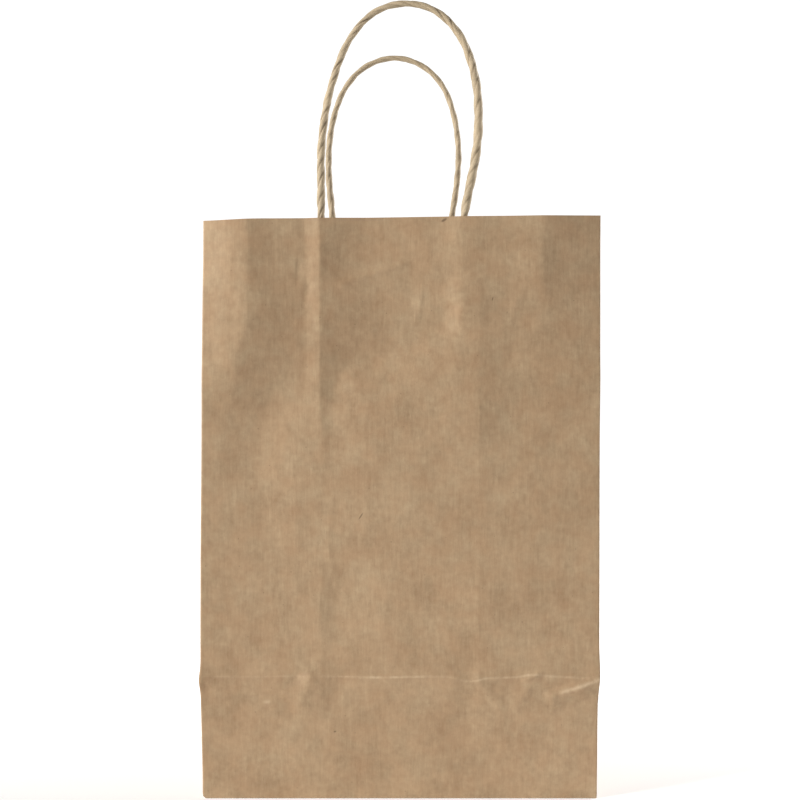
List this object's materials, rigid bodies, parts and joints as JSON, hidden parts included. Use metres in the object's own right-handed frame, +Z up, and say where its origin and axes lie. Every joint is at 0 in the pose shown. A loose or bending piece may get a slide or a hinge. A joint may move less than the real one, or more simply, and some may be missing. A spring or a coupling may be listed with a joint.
{
  "type": "paper gift bag",
  "caption": "Upright block-bottom paper carrier bag with side gussets and twisted paper cord handles that swing, on walls that lean together.",
  "frame": {"origin": "centre of the base, on the surface that the bag stands on", "axes": "+Z up to the mouth, +Y from the front wall to the back wall, +X to the right as seen from the front"},
  "size_m": [0.18, 0.126, 0.3636],
  "materials": {
    "kraft_paper": "unbleached kraft paper, matt, with long fibres",
    "patch_paper": "unbleached kraft paper, matt, glued strip",
    "cord_paper": "pale kraft paper twisted to a cord"
  },
  "bodies": {
    "base": {"bottom_back_flap": "kraft_paper", "bottom_front_flap": "kraft_paper", "left_gusset_tuck": "kraft_paper", "right_gusset_tuck": "kraft_paper", "left_gusset_front_half": "kraft_paper", "left_gusset_back_half": "kraft_paper", "right_gusset_front_half": "kraft_paper", "right_gusset_back_half": "kraft_paper"},
    "front_wall": {"front_panel": "kraft_paper", "front_patch_base": "patch_paper", "front_patch_cover": "patch_paper", "front_cord_end_left": "cord_paper", "front_cord_end_right": "cord_paper"},
    "back_wall": {"back_panel": "kraft_paper", "back_patch_base": "patch_paper", "back_patch_cover": "patch_paper", "back_cord_end_left": "cord_paper", "back_cord_end_right": "cord_paper", "back_seam_flap": "kraft_paper"},
    "front_handle": {"front_handle_loop": "cord_paper"},
    "back_handle": {"back_handle_loop": "cord_paper"}
  },
  "joints": [
    {"name": "front_wall_lean", "type": "hinge", "parent": "base", "child": "front_wall", "pos_m": [0, -0.055, 0.0003], "axis": [-1, 0, 0], "range_deg": [0, 9.3]},
    {"name": "back_wall_lean", "type": "hinge", "parent": "base", "child": "back_wall", "pos_m": [0, 0.055, 0.0003], "axis": [1, 0, 0], "range_deg": [0, 9.3]},
    {"name": "front_handle_swing", "type": "hinge", "parent": "front_wall", "child": "front_handle", "pos_m": [0, -0.055, 0.265], "axis": [1, 0, 0], "range_deg": [0, 170]},
    {"name": "back_handle_swing", "type": "hinge", "parent": "back_wall", "child": "back_handle", "pos_m": [0, 0.055, 0.265], "axis": [-1, 0, 0], "range_deg": [0, 170]}
  ]
}
